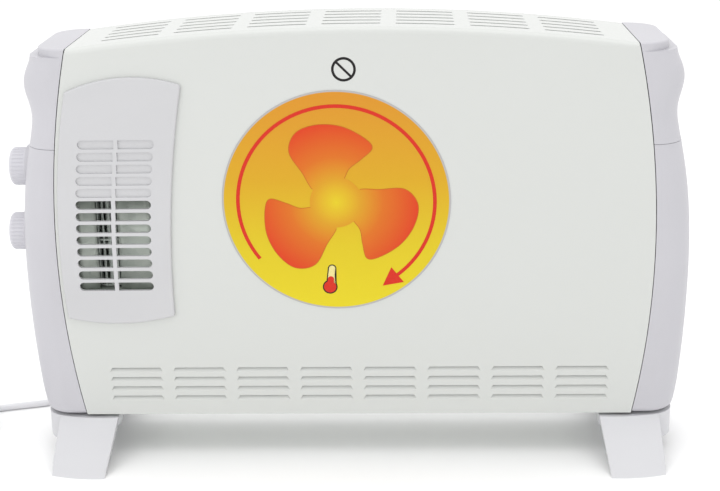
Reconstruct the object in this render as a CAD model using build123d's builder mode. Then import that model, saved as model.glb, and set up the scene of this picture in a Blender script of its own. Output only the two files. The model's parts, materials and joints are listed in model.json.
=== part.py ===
"""Fan convector heater: a free-standing convector with a small tangential booster fan.

Units are millimetres. Every sub-part is drawn about the casing's own centre plane: X runs along
the heater, Y from front (-) to back (+) and Z up from the floor. save() moves it sideways, so that
the origin of the finished model is on the floor at the middle of the overall footprint.
"""

import os
from math import atan, cos, pi, radians, sin

from build123d import *

os.makedirs("parts", exist_ok=True)

# ---------------------------------------------------------------- driving dimensions
body_depth = 114.0          # front skin to back skin, where the casing is deepest
base_z = 42.0               # underside of the casing above the floor
shoulder_z = 384.8          # where the crowned top meets the end caps
crown_z = 400.9             # highest point of the crowned top
seam_bottom = 250.5         # half width of the sheet casing at its underside
seam_middle = 264.0         # half width at mid height
seam_top = 242.5            # half width at the shoulder
bow_radius = 4850.0         # the front and back skins bow outwards by this radius
bow_z = 425.6               # height at which the bowed skins stand vertical
sheet = 1.0                 # steel sheet
wall = 2.4                  # moulded plastic wall
seam_gap = 0.7              # open line between the casing and the end caps

cap_corner = 27.0           # plan radius of the end caps
parting_z = 297.0           # line between the upper and the lower end caps
parting_gap = 0.5
cap_foot_radius = 5.0       # rounding round the underside of the end caps
tier_half = 271.0           # half width of the raised top tier of the end caps
ledge_z = 377.5             # ledge round that tier

fan_x = -212.0              # middle of the blower outlet
outlet_z = (166.0, 252.5)   # open rows of the blower outlet
knob_y = -7.0
thermostat_z = 271.0
selector_z = 210.0
knob_radius = 17.2

shaft_radius = 2.0
running_gap = 0.05          # shaft in bush, all round
impeller_radius = 22.0

cord_diameter = 6.4
coil_middle_radius = 35.0

half_depth = body_depth / 2


def skin_y(z, inset=0.0):
    """Y of the front skin at height z; the back skin is its mirror image."""
    return -half_depth + inset + (z - bow_z) ** 2 / (2 * bow_radius)


def seam_x(z):
    """Half width of the sheet casing at height z: an arc through three named half widths."""
    t = (z - base_z) / (shoulder_z - base_z)
    chord = seam_bottom + (seam_top - seam_bottom) * t
    bulge = seam_middle - (seam_bottom + seam_top) / 2
    return chord + 4 * bulge * t * (1 - t)


def skin_plane(x, z, proud=0.0):
    """Plane lying on the front skin at (x, z), with its normal pointing out of the heater."""
    lean = atan((z - bow_z) / bow_radius)
    normal = Vector(0, -cos(lean), sin(lean))
    origin = Vector(x, skin_y(z), z) + normal * proud
    return Plane(origin=origin, x_dir=(1, 0, 0), z_dir=normal)


# ---------------------------------------------------------------- overall widths
lower_cap_half = [(42.0, 291.0), (56.0, 294.0), (80.0, 296.2), (110.0, 297.9), (145.0, 298.9),
                  (180.0, 299.0), (215.0, 297.7), (250.0, 294.4), (275.0, 290.4), (296.8, 286.0)]
upper_cap_half = [(297.2, 286.0), (309.0, 283.2), (321.0, 281.4), (331.0, 282.0),
                  (342.0, 284.6), (352.0, 285.9), (363.0, 283.6), (377.5, 278.5)]
cap_half_max = 299.0


def cap_half(z):
    """Half width over the end caps at height z, read between the sections of their lofts."""
    rows = lower_cap_half + upper_cap_half
    for (z0, x0), (z1, x1) in zip(rows, rows[1:]):
        if z0 <= z <= z1:
            return x0 + (x1 - x0) * (z - z0) / max(z1 - z0, 1e-6)
    return rows[-1][1]


knob_height = 15.0
knob_seats = {"thermostat": (thermostat_z, 293.8), "selector": (selector_z, 298.9)}
knob_gap = 0.5
knob_tip = knob_seats["selector"][1] + knob_gap + knob_height + 1.2
body_shift = (knob_tip - cap_half_max) / 2


def save(piece, name):
    """Move a finished piece into the model's frame, name it and write its STEP file."""
    piece = piece.moved(Location((body_shift, 0, 0)))
    piece.label = name
    export_step(piece, f"parts/{name}.step")


# ---------------------------------------------------------------- casing blocks
def casing_block(inset=0.0, open_ends=False, corner=0.0):
    """The sheet casing's outer form as one solid, drawn in by inset on the front, back and top."""
    reach = 30.0 if open_ends else 0.0
    foot = base_z - (20.0 if open_ends else 0.0)
    with BuildPart() as block:
        with BuildSketch(Plane.YZ.offset(-seam_middle - 40)):
            with BuildLine():
                low, mid, high = foot, 230.0, crown_z + 5
                front = ThreePointArc(
                    (skin_y(low, inset), low), (skin_y(mid, inset), mid), (skin_y(high, inset), high)
                )
                back = ThreePointArc(
                    (-skin_y(high, inset), high), (-skin_y(mid, inset), mid), (-skin_y(low, inset), low)
                )
                Line(front @ 1, back @ 0)
                Line(back @ 1, front @ 0)
            make_face()
        extrude(amount=2 * seam_middle + 80)
        with BuildSketch(Plane.XZ.offset(-half_depth - 10)):
            with BuildLine():
                mid_z = (base_z + shoulder_z) / 2
                right = ThreePointArc(
                    (seam_x(foot) + reach, foot),
                    (seam_middle + reach, mid_z),
                    (seam_top + reach, shoulder_z - inset - crown_drop(seam_top + reach)),
                )
                top = ThreePointArc(right @ 1, (0, crown_z - inset), mirrored(right @ 1))
                left = ThreePointArc(
                    mirrored(right @ 1), (-seam_middle - reach, mid_z), mirrored(right @ 0)
                )
                Line(left @ 1, right @ 0)
            make_face()
        extrude(amount=2 * half_depth + 20, mode=Mode.INTERSECT)
        if corner:
            rims = block.edges().filter_by(lambda e: e.center().Z > shoulder_z - 5)
            rims = rims.filter_by(lambda e: abs(e.center().Y) > half_depth - inset - 4)
            fillet(rims.filter_by(lambda e: e.length > 300), radius=corner)
    return block.part


def crown_drop(x):
    """How far the crowned top has fallen at x below its height at the seam."""
    rise = crown_z - shoulder_z
    return rise * ((x / seam_top) ** 2 - 1)


def mirrored(point):
    return (-point.X, point.Y)


def skin_layer(outer, inner):
    """Layer that follows the skins, from outer to inner, both measured inwards from the skin."""
    return casing_block(outer, open_ends=True) - casing_block(inner, open_ends=True)


outer_form = casing_block(corner=5.0)
sheet_shell = outer_form - casing_block(sheet, open_ends=True, corner=4.0)

# ---------------------------------------------------------------- front panel and back panel
louvre_length = 52.4
louvre_height = 4.2
louvre_depth = 3.4
louvre_slant = 3.0
louvre_rows = [86.9, 77.5, 68.0, 58.5]
louvre_columns = [-201.7 + 58.0 * i for i in range(8)]
top_slot = (50.8, 4.4)
top_pitch = (63.4, 17.5)
window = (74.0, 92.0)
back_split = 50.0


def louvre_tool(x, z, side, hood):
    """One pressed louvre: the hood behind the skin, or the hollow that is cut in front of it."""
    face = skin_plane(x, z)
    if side > 0:
        face = Plane(
            origin=(x, -face.origin.Y, z), x_dir=(-1, 0, 0), z_dir=(0, -face.z_dir.Y, face.z_dir.Z)
        )
    half = louvre_height / 2
    length = louvre_length if hood else louvre_length - 2 * sheet
    start = -0.5 * sheet if hood else 0.5
    deep = -louvre_depth - sheet if hood else -louvre_depth
    rim = sheet if hood else 0.0
    top = half if hood else half + 0.6
    profile_plane = Plane(
        origin=face.origin - face.x_dir * (length / 2), x_dir=face.y_dir, z_dir=face.x_dir
    )
    with BuildPart() as tool:
        with BuildSketch(profile_plane):
            with BuildLine():
                Polyline((-half - rim, start), (top, start), (top, deep), close=True)
            make_face()
        extrude(amount=length)
        with BuildSketch(face.offset(-louvre_depth - 3)):
            with BuildLine():
                low, high, slant = -half - 2, half + 1, louvre_slant if hood else louvre_slant + 0.4
                Polyline(
                    (-length / 2 - 0.6, low), (length / 2 + 0.6, low), (length / 2 - slant, high),
                    (slant - length / 2, high), close=True,
                )
            make_face()
        extrude(amount=louvre_depth + 6, mode=Mode.INTERSECT)
    return tool.part


def add_louvres(panel, side):
    """Press the four rows of louvres into the lower edge of a panel."""
    hoods = [louvre_tool(x, z, side, True) for z in louvre_rows for x in louvre_columns]
    hollows = [louvre_tool(x, z, side, False) for z in louvre_rows for x in louvre_columns]
    return panel.fuse(*hoods).cut(*hollows)


with BuildPart() as front_panel:
    add(sheet_shell)
    split(bisect_by=Plane.XZ.offset(-back_split), keep=Keep.TOP)
    with Locations((0, half_depth, (shoulder_z - 12) / 2)):
        Box(900, body_depth, shoulder_z - 12, mode=Mode.SUBTRACT)
    with BuildSketch(Plane.XY.offset(shoulder_z - 10)):
        with GridLocations(*top_pitch, 7, 5):
            SlotOverall(*top_slot)
    extrude(amount=40, mode=Mode.SUBTRACT)
    with BuildSketch(skin_plane(fan_x, sum(outlet_z) / 2)):
        Rectangle(*window)
    extrude(amount=5, both=True, mode=Mode.SUBTRACT)
front_panel_part = add_louvres(front_panel.part, -1)
save(front_panel_part, "front_panel")

with BuildPart() as back_panel:
    add(sheet_shell)
    split(bisect_by=Plane.XZ, keep=Keep.BOTTOM)
    with Locations((0, back_split + 0.4 - 40, shoulder_z + 27.6)):
        Box(900, 80, 80, mode=Mode.SUBTRACT)
    with BuildSketch(Plane.XZ.offset(-half_depth - 5)):
        with Locations((150.0, 235.0), (-150.0, 235.0)):
            with GridLocations(0, 12, 1, 8):
                SlotOverall(120, 4.0)
    extrude(amount=20, mode=Mode.SUBTRACT)
save(add_louvres(back_panel.part, 1), "back_panel")

# ---------------------------------------------------------------- base plate and side frames
side_frame_x = 236.0
flange = 11.0
flange_z = 97.0
base_top = base_z + 3.2
base_half_depth = -skin_y(base_z) - sheet - 0.3
base_length = 2 * (side_frame_x - sheet - 0.3)
blower_hatch = ((-48.6, 38.0), (158.0, 306.0))
wire_hole = (27.0, 95.0)
boss_sites = [(30.0, 345.0), (-30.0, 345.0), (32.0, 120.0), (-32.0, 120.0)]
boss_radius = 5.0
screw_radius = 1.9
foot_screw_x = 230.0
foot_screw_y = 20.0

with BuildPart() as base_plate:
    with Locations((0, 0, base_top - sheet / 2)):
        Box(base_length, 2 * base_half_depth, sheet)
    for edge in (-1, 1):
        with Locations((0, edge * (base_half_depth - sheet / 2), base_top + 3)):
            Box(base_length, sheet, 6)
    with BuildSketch(Plane.XY.offset(base_z)):
        with GridLocations(42.0, 14.0, 9, 5):
            SlotOverall(34, 7)
        with GridLocations(2 * foot_screw_x, 2 * foot_screw_y, 2, 2):
            Circle(screw_radius + 0.1)
    extrude(amount=20, mode=Mode.SUBTRACT)
save(base_plate.part, "base_plate")

frame_form = casing_block(sheet + 0.2, open_ends=True, corner=3.8)
frame_skin = frame_form - casing_block(2 * sheet + 0.2, open_ends=True, corner=2.8)


def side_frame(side):
    """Folded sheet frame that closes one end of the air channel and carries the end caps."""
    with BuildPart() as frame:
        add(frame_form)
        with Locations((side * (side_frame_x - sheet / 2), 0, 220)):
            Box(sheet, 200, 346, mode=Mode.INTERSECT)
        with BuildPart(mode=Mode.PRIVATE) as rim:
            add(frame_skin)
            with Locations((side * (side_frame_x - flange / 2), 0, flange_z)):
                Box(flange, 200, 300, align=(Align.CENTER, Align.CENTER, Align.MIN), mode=Mode.INTERSECT)
        add(rim.part)
        with BuildSketch(Plane.YZ.offset(side * side_frame_x - 5)):
            with Locations(*boss_sites):
                Circle(screw_radius + 0.1)
            if side < 0:
                (y0, y1), (z0, z1) = blower_hatch
                with Locations(((y0 + y1) / 2, (z0 + z1) / 2)):
                    Rectangle(y1 - y0, z1 - z0)
                with Locations(wire_hole):
                    Circle(5.0)
            else:
                with Locations((0, 220)):
                    SlotOverall(90, 34, rotation=90)
        extrude(amount=10, mode=Mode.SUBTRACT)
    return frame.part


save(side_frame(-1), "side_frame_left")
save(side_frame(1), "side_frame_right")

# ---------------------------------------------------------------- end caps
with BuildPart() as seam_block:
    with BuildSketch(Plane.XZ.offset(-half_depth - 10)):
        with BuildLine():
            low, mid_z, high = base_z - 5, (base_z + shoulder_z) / 2, crown_z
            right = ThreePointArc(
                (seam_x(low) + seam_gap, low),
                (seam_middle + seam_gap, mid_z),
                (seam_x(high) + seam_gap, high),
            )
            left = ThreePointArc(
                mirrored(right @ 1), (-seam_middle - seam_gap, mid_z), mirrored(right @ 0)
            )
            Line(right @ 1, left @ 0)
            Line(left @ 1, right @ 0)
        make_face()
    extrude(amount=2 * half_depth + 20)


def cap_section(z, half_width, inset, side):
    """One horizontal section of an end cap, a rectangle with its two outer corners rounded."""
    inner = 230.0
    outer = half_width - inset
    with BuildSketch(Plane.XY.offset(z)) as section:
        with Locations((side * (inner + outer) / 2, 0)):
            Rectangle(outer - inner, -2 * skin_y(z, inset))
        far_corners = section.vertices().sort_by(Axis.X)
        far_corners = far_corners[-2:] if side > 0 else far_corners[:2]
        fillet(far_corners, radius=cap_corner - inset)
    return section.sketch


def cap_loft(rows, inset, side):
    with BuildPart() as form:
        loft([cap_section(z, half_width, inset, side) for z, half_width in rows])
    return form.part


def boss_block(side, sites):
    """Screw bosses that reach from the cap's side wall to the side frame."""
    with BuildPart() as bosses:
        with BuildSketch(Plane.YZ.offset(side * (side_frame_x + 0.1))):
            with Locations(*sites):
                Circle(boss_radius)
        extrude(amount=side * 62)
    return bosses.part


def screw_holes(side, sites):
    with BuildPart() as holes:
        with BuildSketch(Plane.YZ.offset(side * (side_frame_x - 2))):
            with Locations(*sites):
                Circle(screw_radius + 0.05)
        extrude(amount=side * 18)
    return holes.part


def upper_cap(side):
    """Upper end cap: hand grip with a finger recess, a ledge and a raised top tier."""
    shell_rows = [(z, x) for z, x in upper_cap_half]
    hollow_rows = [(parting_z - 5, 286.0)] + shell_rows[:-1] + [(ledge_z - wall, 279.0)]
    form = cap_loft(shell_rows, 0.0, side)
    hollow = cap_loft(hollow_rows, wall, side)
    with BuildPart() as tier:
        add(cap_section(ledge_z - 0.5, tier_half, 0.0, side))
        extrude(amount=shoulder_z - ledge_z + 0.5)
        rim = tier.edges().filter_by(lambda e: e.center().Z > shoulder_z - 0.1)
        rim = rim.filter_by(lambda e: abs(e.center().X) > 235)
        fillet(rim, radius=1.6)
    with BuildPart() as tier_hollow:
        add(cap_section(ledge_z - wall - 0.5, tier_half, wall, side))
        extrude(amount=shoulder_z - ledge_z + 0.5)
    shell = (form + tier.part) - hollow - tier_hollow.part
    bosses = (boss_block(side, boss_sites[:2]) & form) - screw_holes(side, boss_sites[:2])
    return (shell - seam_block.part) + bosses


def lower_cap(side):
    """Lower end cap, closed underneath."""
    form = cap_loft(lower_cap_half, 0.0, side)
    with BuildPart() as rounded:
        add(form)
        foot_rim = rounded.edges().filter_by(lambda e: abs(e.center().Z - base_z) < 0.1)
        fillet(foot_rim.filter_by(lambda e: abs(e.center().X) > 235), radius=cap_foot_radius)
    hollow_rows = [(base_z + wall, 292.0)] + lower_cap_half[1:-1] + [(parting_z + 4, 286.0)]
    hollow = cap_loft(hollow_rows, wall, side)
    shell = (rounded.part - hollow) - seam_block.part
    bosses = (boss_block(side, boss_sites[2:]) & form) - screw_holes(side, boss_sites[2:])
    return shell + bosses


left_upper = upper_cap(-1)
right_upper = upper_cap(1)
save(left_upper, "left_upper_cap")
save(right_upper, "right_upper_cap")
save(lower_cap(1), "right_lower_cap")

cord_exit_x = -265.0
cord_exit_z = 66.0
gland_radius = 5.5
seat_radius = 19.5
spindle_radius = 3.0
control_plate_x = -270.0

with BuildPart() as left_lower_cap:
    add(lower_cap(-1))
    with BuildPart(mode=Mode.PRIVATE) as seats:
        for z, seat_x in knob_seats.values():
            with BuildSketch(Plane.YZ.offset(-seat_x)):
                with Locations((knob_y, z)):
                    Circle(seat_radius)
            extrude(amount=12)
    add(seats.part - cap_loft(lower_cap_half, wall, -1))
    with BuildSketch(Plane.YZ.offset(-310)):
        with Locations((knob_y, thermostat_z), (knob_y, selector_z)):
            Circle(spindle_radius + 0.6)
    extrude(amount=40, mode=Mode.SUBTRACT)
    with BuildSketch(Plane.XZ.offset(-half_depth)):
        with Locations((cord_exit_x, cord_exit_z)):
            Circle(gland_radius)
    extrude(amount=30, mode=Mode.SUBTRACT)
save(left_lower_cap.part, "left_lower_cap")

# ---------------------------------------------------------------- blower cover
cover_proud = 3.2
cover_seat = 0.05
cover_rows = 13
blind_rows = 5
row_top_z = 302.1
row_pitch = 10.91
row_slot = (66.5, 7.9)
rib_width = 3.6
blind_floor = 1.7


def row_x(z):
    """Middle of a row of slots: the rows follow the bowed side of the cover."""
    return fan_x - 0.6 + 0.000574 * (z - 181.0) ** 2


with BuildPart() as fan_cover:
    with BuildSketch(Plane.XZ.offset(half_depth - 25)) as cover_face:
        with BuildLine():
            top_left = (-245.4, 348.0)
            top_right = (-145.0, 353.6)
            bottom_right = (-162.4, 142.0)
            bottom_left = (-258.7, 140.1)
            ThreePointArc(top_left, (-191.0, 360.6), top_right)
            ThreePointArc(top_right, (-158.6, 255.0), bottom_right)
            ThreePointArc(bottom_right, (-212.0, 134.8), bottom_left)
            ThreePointArc(bottom_left, (-259.6, 245.0), top_left)
        make_face()
        corners = cover_face.vertices()
        fillet(corners.sort_by(Axis.X)[-1], radius=2.5)
        fillet(cover_face.vertices().sort_by_distance((-162.4, 45.0 - half_depth, 142.0))[0], 1.8)
    extrude(amount=50)
    add(skin_layer(-cover_proud, -cover_seat), mode=Mode.INTERSECT)
    rim = fan_cover.edges().filter_by(lambda e: e.center().Y < skin_y(e.center().Z) - 2.2)
    fillet(rim, radius=1.5)
    for row in range(cover_rows):
        z = row_top_z - row * row_pitch
        floor = blind_floor if row < blind_rows else -2.0
        with BuildSketch(skin_plane(row_x(z), z, proud=floor)):
            SlotOverall(*row_slot)
            Rectangle(rib_width, row_slot[1] + 2, mode=Mode.SUBTRACT)
        extrude(amount=6, mode=Mode.SUBTRACT)
save(fan_cover.part, "fan_cover")

# ---------------------------------------------------------------- front label
label_centre = (-14.8, 247.7)
label_radius = 100.0
with BuildPart() as front_label:
    with BuildSketch(Plane.XZ.offset(half_depth - 25)):
        with Locations(label_centre):
            Circle(label_radius)
    extrude(amount=50)
    add(skin_layer(-0.35, -0.05), mode=Mode.INTERSECT)
save(front_label.part, "front_label")

# ---------------------------------------------------------------- feet
foot_top = base_z - 2.6
foot_wall = 2.6
skirt_z = 15.0
skirt_inset = 2.0
leg_top = ((222.0, -44.5), (250.0, -44.3), (277.0, -37.5))
leg_bottom = ((228.3, -91.0), (254.0, -90.2), (278.5, -83.6))
leg_depth = (21.0, 7.0)
leg_steps = 5


def leg_section(z, arc, depth, side, face, inset):
    """Plan section of a leg: a bowed front edge closed by a straight back edge."""
    (x0, y0), (x1, y1), (x2, y2) = arc
    front = [(x0 + inset, y0 + inset), (x1, y1 + inset), (x2 - inset, y2 + inset)]
    back_y = y0 + depth
    with BuildSketch(Plane.XY.offset(z)) as section:
        with BuildLine():
            bow = ThreePointArc(*[(side * x, face * y) for x, y in front])
            back = Line((side * front[2][0], face * back_y), (side * front[0][0], face * back_y))
            Line(bow @ 1, back @ 0)
            Line(back @ 1, bow @ 0)
        make_face()
    return section.sketch


def leg_sections(top, bottom, extra, side, face, inset):
    """Evenly spaced plan sections of a leg, from its top down."""
    sections = []
    for step in range(leg_steps + 1):
        t = step / leg_steps
        arc = [
            (x0 + (x1 - x0) * t, y0 + (y1 - y0) * t)
            for (x0, y0), (x1, y1) in zip(leg_top, leg_bottom)
        ]
        depth = leg_depth[0] + (leg_depth[1] - leg_depth[0]) * t + extra
        sections.append(leg_section(top + (bottom - top) * t, arc, depth, side, face, inset))
    return sections


def leg(side, face):
    """One splayed leg, a channel that is open towards the middle of the heater."""
    with BuildPart() as outer:
        loft(leg_sections(foot_top, 0.0, 0.0, side, face, 0.0), ruled=True)
    with BuildPart() as inner:
        loft(leg_sections(foot_top - foot_wall, -2.0, 6.0, side, face, foot_wall), ruled=True)
    return outer.part - inner.part


def foot(side):
    """Moulded foot: a tray under the end cap with a rounded skirt and two splayed legs."""
    outer_x = cap_half(50.0) - skirt_inset
    with BuildPart() as body:
        half_y = -skin_y(base_z) - skirt_inset
        for inset, depth in ((0.0, foot_top - skirt_z), (foot_wall, None)):
            top = foot_top if depth else foot_top - foot_wall
            with BuildSketch(Plane.XY.offset(top)) as plan:
                inner_x = 222.0 + inset
                with Locations((side * (inner_x + outer_x - inset) / 2, 0)):
                    Rectangle(outer_x - inset - inner_x, 2 * (half_y - inset))
                far = plan.vertices().sort_by(Axis.X)
                fillet(far[-2:] if side > 0 else far[:2], radius=cap_corner - 4 - inset)
            extrude(amount=-(depth or 40), mode=Mode.ADD if depth else Mode.SUBTRACT)
        with BuildPart(mode=Mode.PRIVATE) as lower_cut:
            with BuildSketch(Plane.XZ.offset(-half_depth)):
                with BuildLine():
                    Polyline(
                        (side * 200, skirt_z - 5), (side * 200, 30), (side * 262, 30),
                        (side * 284, skirt_z - 1), (side * 284, skirt_z - 5), close=True,
                    )
                make_face()
            extrude(amount=2 * half_depth)
        add(lower_cut.part, mode=Mode.SUBTRACT)
        with Locations(*[(side * foot_screw_x, y, foot_top) for y in (-foot_screw_y, foot_screw_y)]):
            Cylinder(5.5, base_top - sheet - foot_top, align=(Align.CENTER, Align.CENTER, Align.MIN))
        add(leg(side, 1))
        add(leg(side, -1))
        with Locations(*[(side * foot_screw_x, y, foot_top) for y in (-foot_screw_y, foot_screw_y)]):
            Cylinder(screw_radius + 0.05, 20, mode=Mode.SUBTRACT)
    return body.part


save(foot(-1), "left_foot")
save(foot(1), "right_foot")

# ---------------------------------------------------------------- booster blower
blower_x, blower_y = -222.0, -14.0
housing_z = (163.0, 256.0)
plate = 1.0
impeller_z = (166.0, 252.5)
blade_count = 24
bush_outer = 6.0
stack_z = (269.0, 283.0)
rotor_radius = 12.0
air_gap = 0.4
stack_x = (blower_x - 19.0, blower_x + 21.0)
stack_y = (blower_y - 20.0, blower_y + 44.0)
limb_y = (stack_y[1] - 11.0, stack_y[1])
bracket_z = (264.0, 286.0)
post_sites = [(blower_x - 15.5, blower_y), (blower_x + 15.5, blower_y)]
post_radius = 1.8

with BuildPart() as blower_housing:
    with BuildSketch(Plane.XY.offset(housing_z[0])) as housing_plan:
        with BuildLine():
            Polyline(
                (-249.4, -47.3), (-177.0, -47.3), (-177.0, -30.0), (-186.0, 10.0), (-222.0, 17.0),
                (-246.5, 9.0), (-249.4, -20.0), close=True,
            )
        make_face()
        with Locations((blower_x, blower_y)):
            Circle(bush_outer, mode=Mode.SUBTRACT)
    extrude(amount=plate)
    with BuildSketch(Plane.XY.offset(housing_z[1] - plate)):
        add(housing_plan.sketch.moved(Location((0, 0, housing_z[1] - plate))), mode=Mode.REPLACE)
        with Locations(*post_sites):
            Circle(post_radius, mode=Mode.SUBTRACT)
    extrude(amount=plate)
    with BuildSketch(Plane.XY.offset(housing_z[0])):
        with BuildLine():
            throat = Line((-177.6, -47.3), (-178.4, -32.0))
            volute = ThreePointArc(throat @ 1, (-189.5, 6.5), (-224.0, 16.0))
            ThreePointArc(volute @ 1, (-236.0, 13.6), (-245.8, 8.0))
        trace(line_width=0.8)
        with BuildLine():
            tongue = Line((-248.8, -47.3), (-248.8, -34.0))
            ThreePointArc(tongue @ 1, (-248.4, -31.5), (-247.0, -29.6))
        trace(line_width=0.8)
    extrude(amount=housing_z[1] - housing_z[0])
save(blower_housing.part, "blower_housing")

with BuildPart() as blower_impeller:
    for z in (impeller_z[0], (impeller_z[0] + impeller_z[1] - plate) / 2, impeller_z[1] - plate):
        with BuildSketch(Plane.XY.offset(z)):
            with Locations((blower_x, blower_y)):
                Circle(impeller_radius)
                Circle(5.0 if z < impeller_z[1] - 2 else shaft_radius, mode=Mode.SUBTRACT)
        extrude(amount=plate)
    with BuildSketch(Plane.XY.offset(impeller_z[0])) as blade:
        with BuildLine():
            ThreePointArc(
                (blower_x + 15.5, blower_y), (blower_x + 19.2, blower_y + 0.8),
                (blower_x + 21.4, blower_y + 3.4),
            )
        trace(line_width=0.8)
        shaft_axis = Axis((blower_x, blower_y, 0), (0, 0, 1))
        add([blade.sketch.rotate(shaft_axis, 360 * i / blade_count) for i in range(1, blade_count)])
    extrude(amount=impeller_z[1] - impeller_z[0])
    for z in (impeller_z[0], impeller_z[1] - 9):
        with BuildSketch(Plane.XY.offset(z)):
            with Locations((blower_x, blower_y)):
                Circle(5.0)
                Circle(shaft_radius, mode=Mode.SUBTRACT)
        extrude(amount=9)
save(blower_impeller.part, "blower_impeller")

with BuildPart() as blower_shaft:
    with Locations((blower_x, blower_y, housing_z[0] - 4)):
        Cylinder(shaft_radius, 135, align=(Align.CENTER, Align.CENTER, Align.MIN))
save(blower_shaft.part, "blower_shaft")

with BuildPart() as motor_rotor:
    with Locations((blower_x, blower_y, stack_z[0])):
        Cylinder(rotor_radius, stack_z[1] - stack_z[0], align=(Align.CENTER, Align.CENTER, Align.MIN))
        Cylinder(shaft_radius, 60, mode=Mode.SUBTRACT)
    fillet(motor_rotor.edges().filter_by(GeomType.CIRCLE).sort_by(SortBy.RADIUS)[-2:], radius=0.8)
save(motor_rotor.part, "motor_rotor")

with BuildPart() as motor_stack:
    with BuildSketch(Plane.XY.offset(stack_z[0])):
        with Locations(((stack_x[0] + stack_x[1]) / 2, (stack_y[0] + stack_y[1]) / 2)):
            Rectangle(stack_x[1] - stack_x[0], stack_y[1] - stack_y[0])
        with Locations((blower_x, blower_y)):
            Circle(rotor_radius + air_gap, mode=Mode.SUBTRACT)
        with Locations((blower_x + 1, limb_y[0] - 8.0)):
            Rectangle(24, 16, mode=Mode.SUBTRACT)
        with Locations(*post_sites):
            Circle(post_radius, mode=Mode.SUBTRACT)
    extrude(amount=stack_z[1] - stack_z[0])
save(motor_stack.part, "motor_stack")

with BuildPart() as motor_coil:
    middle = (blower_x + 1, (limb_y[0] + limb_y[1]) / 2, (stack_z[0] + stack_z[1]) / 2)
    with Locations(middle):
        Box(20, 23, 26)
        fillet(motor_coil.edges().filter_by(Axis.X), radius=5)
        for x in (-10.8, 10.8):
            with Locations((x, 0, 0)):
                Box(1.6, 25, 28)
        Box(30, limb_y[1] - limb_y[0] + 0.2, stack_z[1] - stack_z[0] + 0.2, mode=Mode.SUBTRACT)
save(motor_coil.part, "motor_coil")


def bush(z, height):
    with BuildPart() as ring:
        with BuildSketch(Plane.XY.offset(z)):
            with Locations((blower_x, blower_y)):
                Circle(bush_outer)
                Circle(shaft_radius + running_gap, mode=Mode.SUBTRACT)
        extrude(amount=height)
    return ring.part


save(bush(housing_z[0] - 3, 5.0), "lower_bush")
with BuildPart() as motor_bushes:
    add([bush(bracket_z[0] - 3, 4.4), bush(bracket_z[1] - 0.4, 4.4)])
save(motor_bushes.part, "motor_bushes")

with BuildPart() as motor_brackets:
    for z in bracket_z:
        with BuildSketch(Plane.XY.offset(z)):
            with Locations((blower_x, blower_y)):
                SlotOverall(40, 15)
                Circle(bush_outer, mode=Mode.SUBTRACT)
            with Locations(*post_sites):
                Circle(post_radius, mode=Mode.SUBTRACT)
        extrude(amount=1.5)
save(motor_brackets.part, "motor_brackets")

with BuildPart() as motor_posts:
    for x, y in post_sites:
        with Locations((x, y, housing_z[1] - plate)):
            Cylinder(post_radius, 35, align=(Align.CENTER, Align.CENTER, Align.MIN))
        with Locations((x, y, housing_z[1] - plate + 35)):
            Cylinder(3.2, 2.4, align=(Align.CENTER, Align.CENTER, Align.MIN))
save(motor_posts.part, "motor_posts")

# ---------------------------------------------------------------- heating elements
shield_x = -172.7
shield_hole = (30.0, 76.0)
element_x = (-150.0, 214.0)
element_levels = (116.0, 166.0)
cross_size = 34.0
ribbon_count = 26
ribbon_width = 1.2

with BuildPart() as heat_shield:
    add(casing_block(3 * sheet, open_ends=True))
    with Locations((shield_x, 0, base_top + 140)):
        Box(sheet, 200, 280, mode=Mode.INTERSECT)
    with Locations((shield_x + 4.5, 0, base_top + sheet / 2)):
        Box(9, 60, sheet)
    with BuildSketch(Plane.YZ.offset(shield_x - 2)):
        with Locations(shield_hole):
            Circle(3.5)
    extrude(amount=4, mode=Mode.SUBTRACT)
save(heat_shield.part, "heat_shield")

with BuildPart() as element_brackets:
    for x, out in ((element_x[0], -1), (element_x[1], 1)):
        with BuildSketch(Plane.YZ.offset(x)):
            with Locations((0, base_top + 78)):
                Rectangle(50, 156)
            for level in element_levels:
                with Locations((0, level)):
                    Rectangle(cross_size + 0.4, 1.4, rotation=45, mode=Mode.SUBTRACT)
                    Rectangle(cross_size + 0.4, 1.4, rotation=-45, mode=Mode.SUBTRACT)
        extrude(amount=out * sheet)
        with Locations((x + out * 6, 0, base_top + sheet / 2)):
            Box(12, 50, sheet)
save(element_brackets.part, "element_brackets")


def mica_cross(level):
    with BuildPart() as cross:
        with BuildSketch(Plane.YZ.offset(element_x[0] - 4)):
            with Locations((0, level)):
                Rectangle(cross_size, 1.0, rotation=45)
                Rectangle(cross_size, 1.0, rotation=-45)
        extrude(amount=element_x[1] - element_x[0] + 8)
    return cross.part


def ribbon_loops(level):
    """Resistance ribbon drawn as square turns that rest on the tips of the mica cross."""
    first, last = element_x[0] + 14, element_x[1] - 14
    with BuildPart() as loops:
        for i in range(ribbon_count):
            x = first + (last - first) * i / (ribbon_count - 1)
            with BuildSketch(Plane.YZ.offset(x)):
                with Locations((0, level)):
                    Rectangle(cross_size * 0.7071 + 1.6, cross_size * 0.7071 + 1.6)
                    Rectangle(cross_size * 0.7071 + 0.8, cross_size * 0.7071 + 0.8,
                              mode=Mode.SUBTRACT)
            extrude(amount=ribbon_width)
    return loops.part


for number, level in enumerate(element_levels, start=1):
    save(mica_cross(level), f"mica_cross_{number}")
    save(ribbon_loops(level), f"heating_ribbon_{number}")

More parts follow.
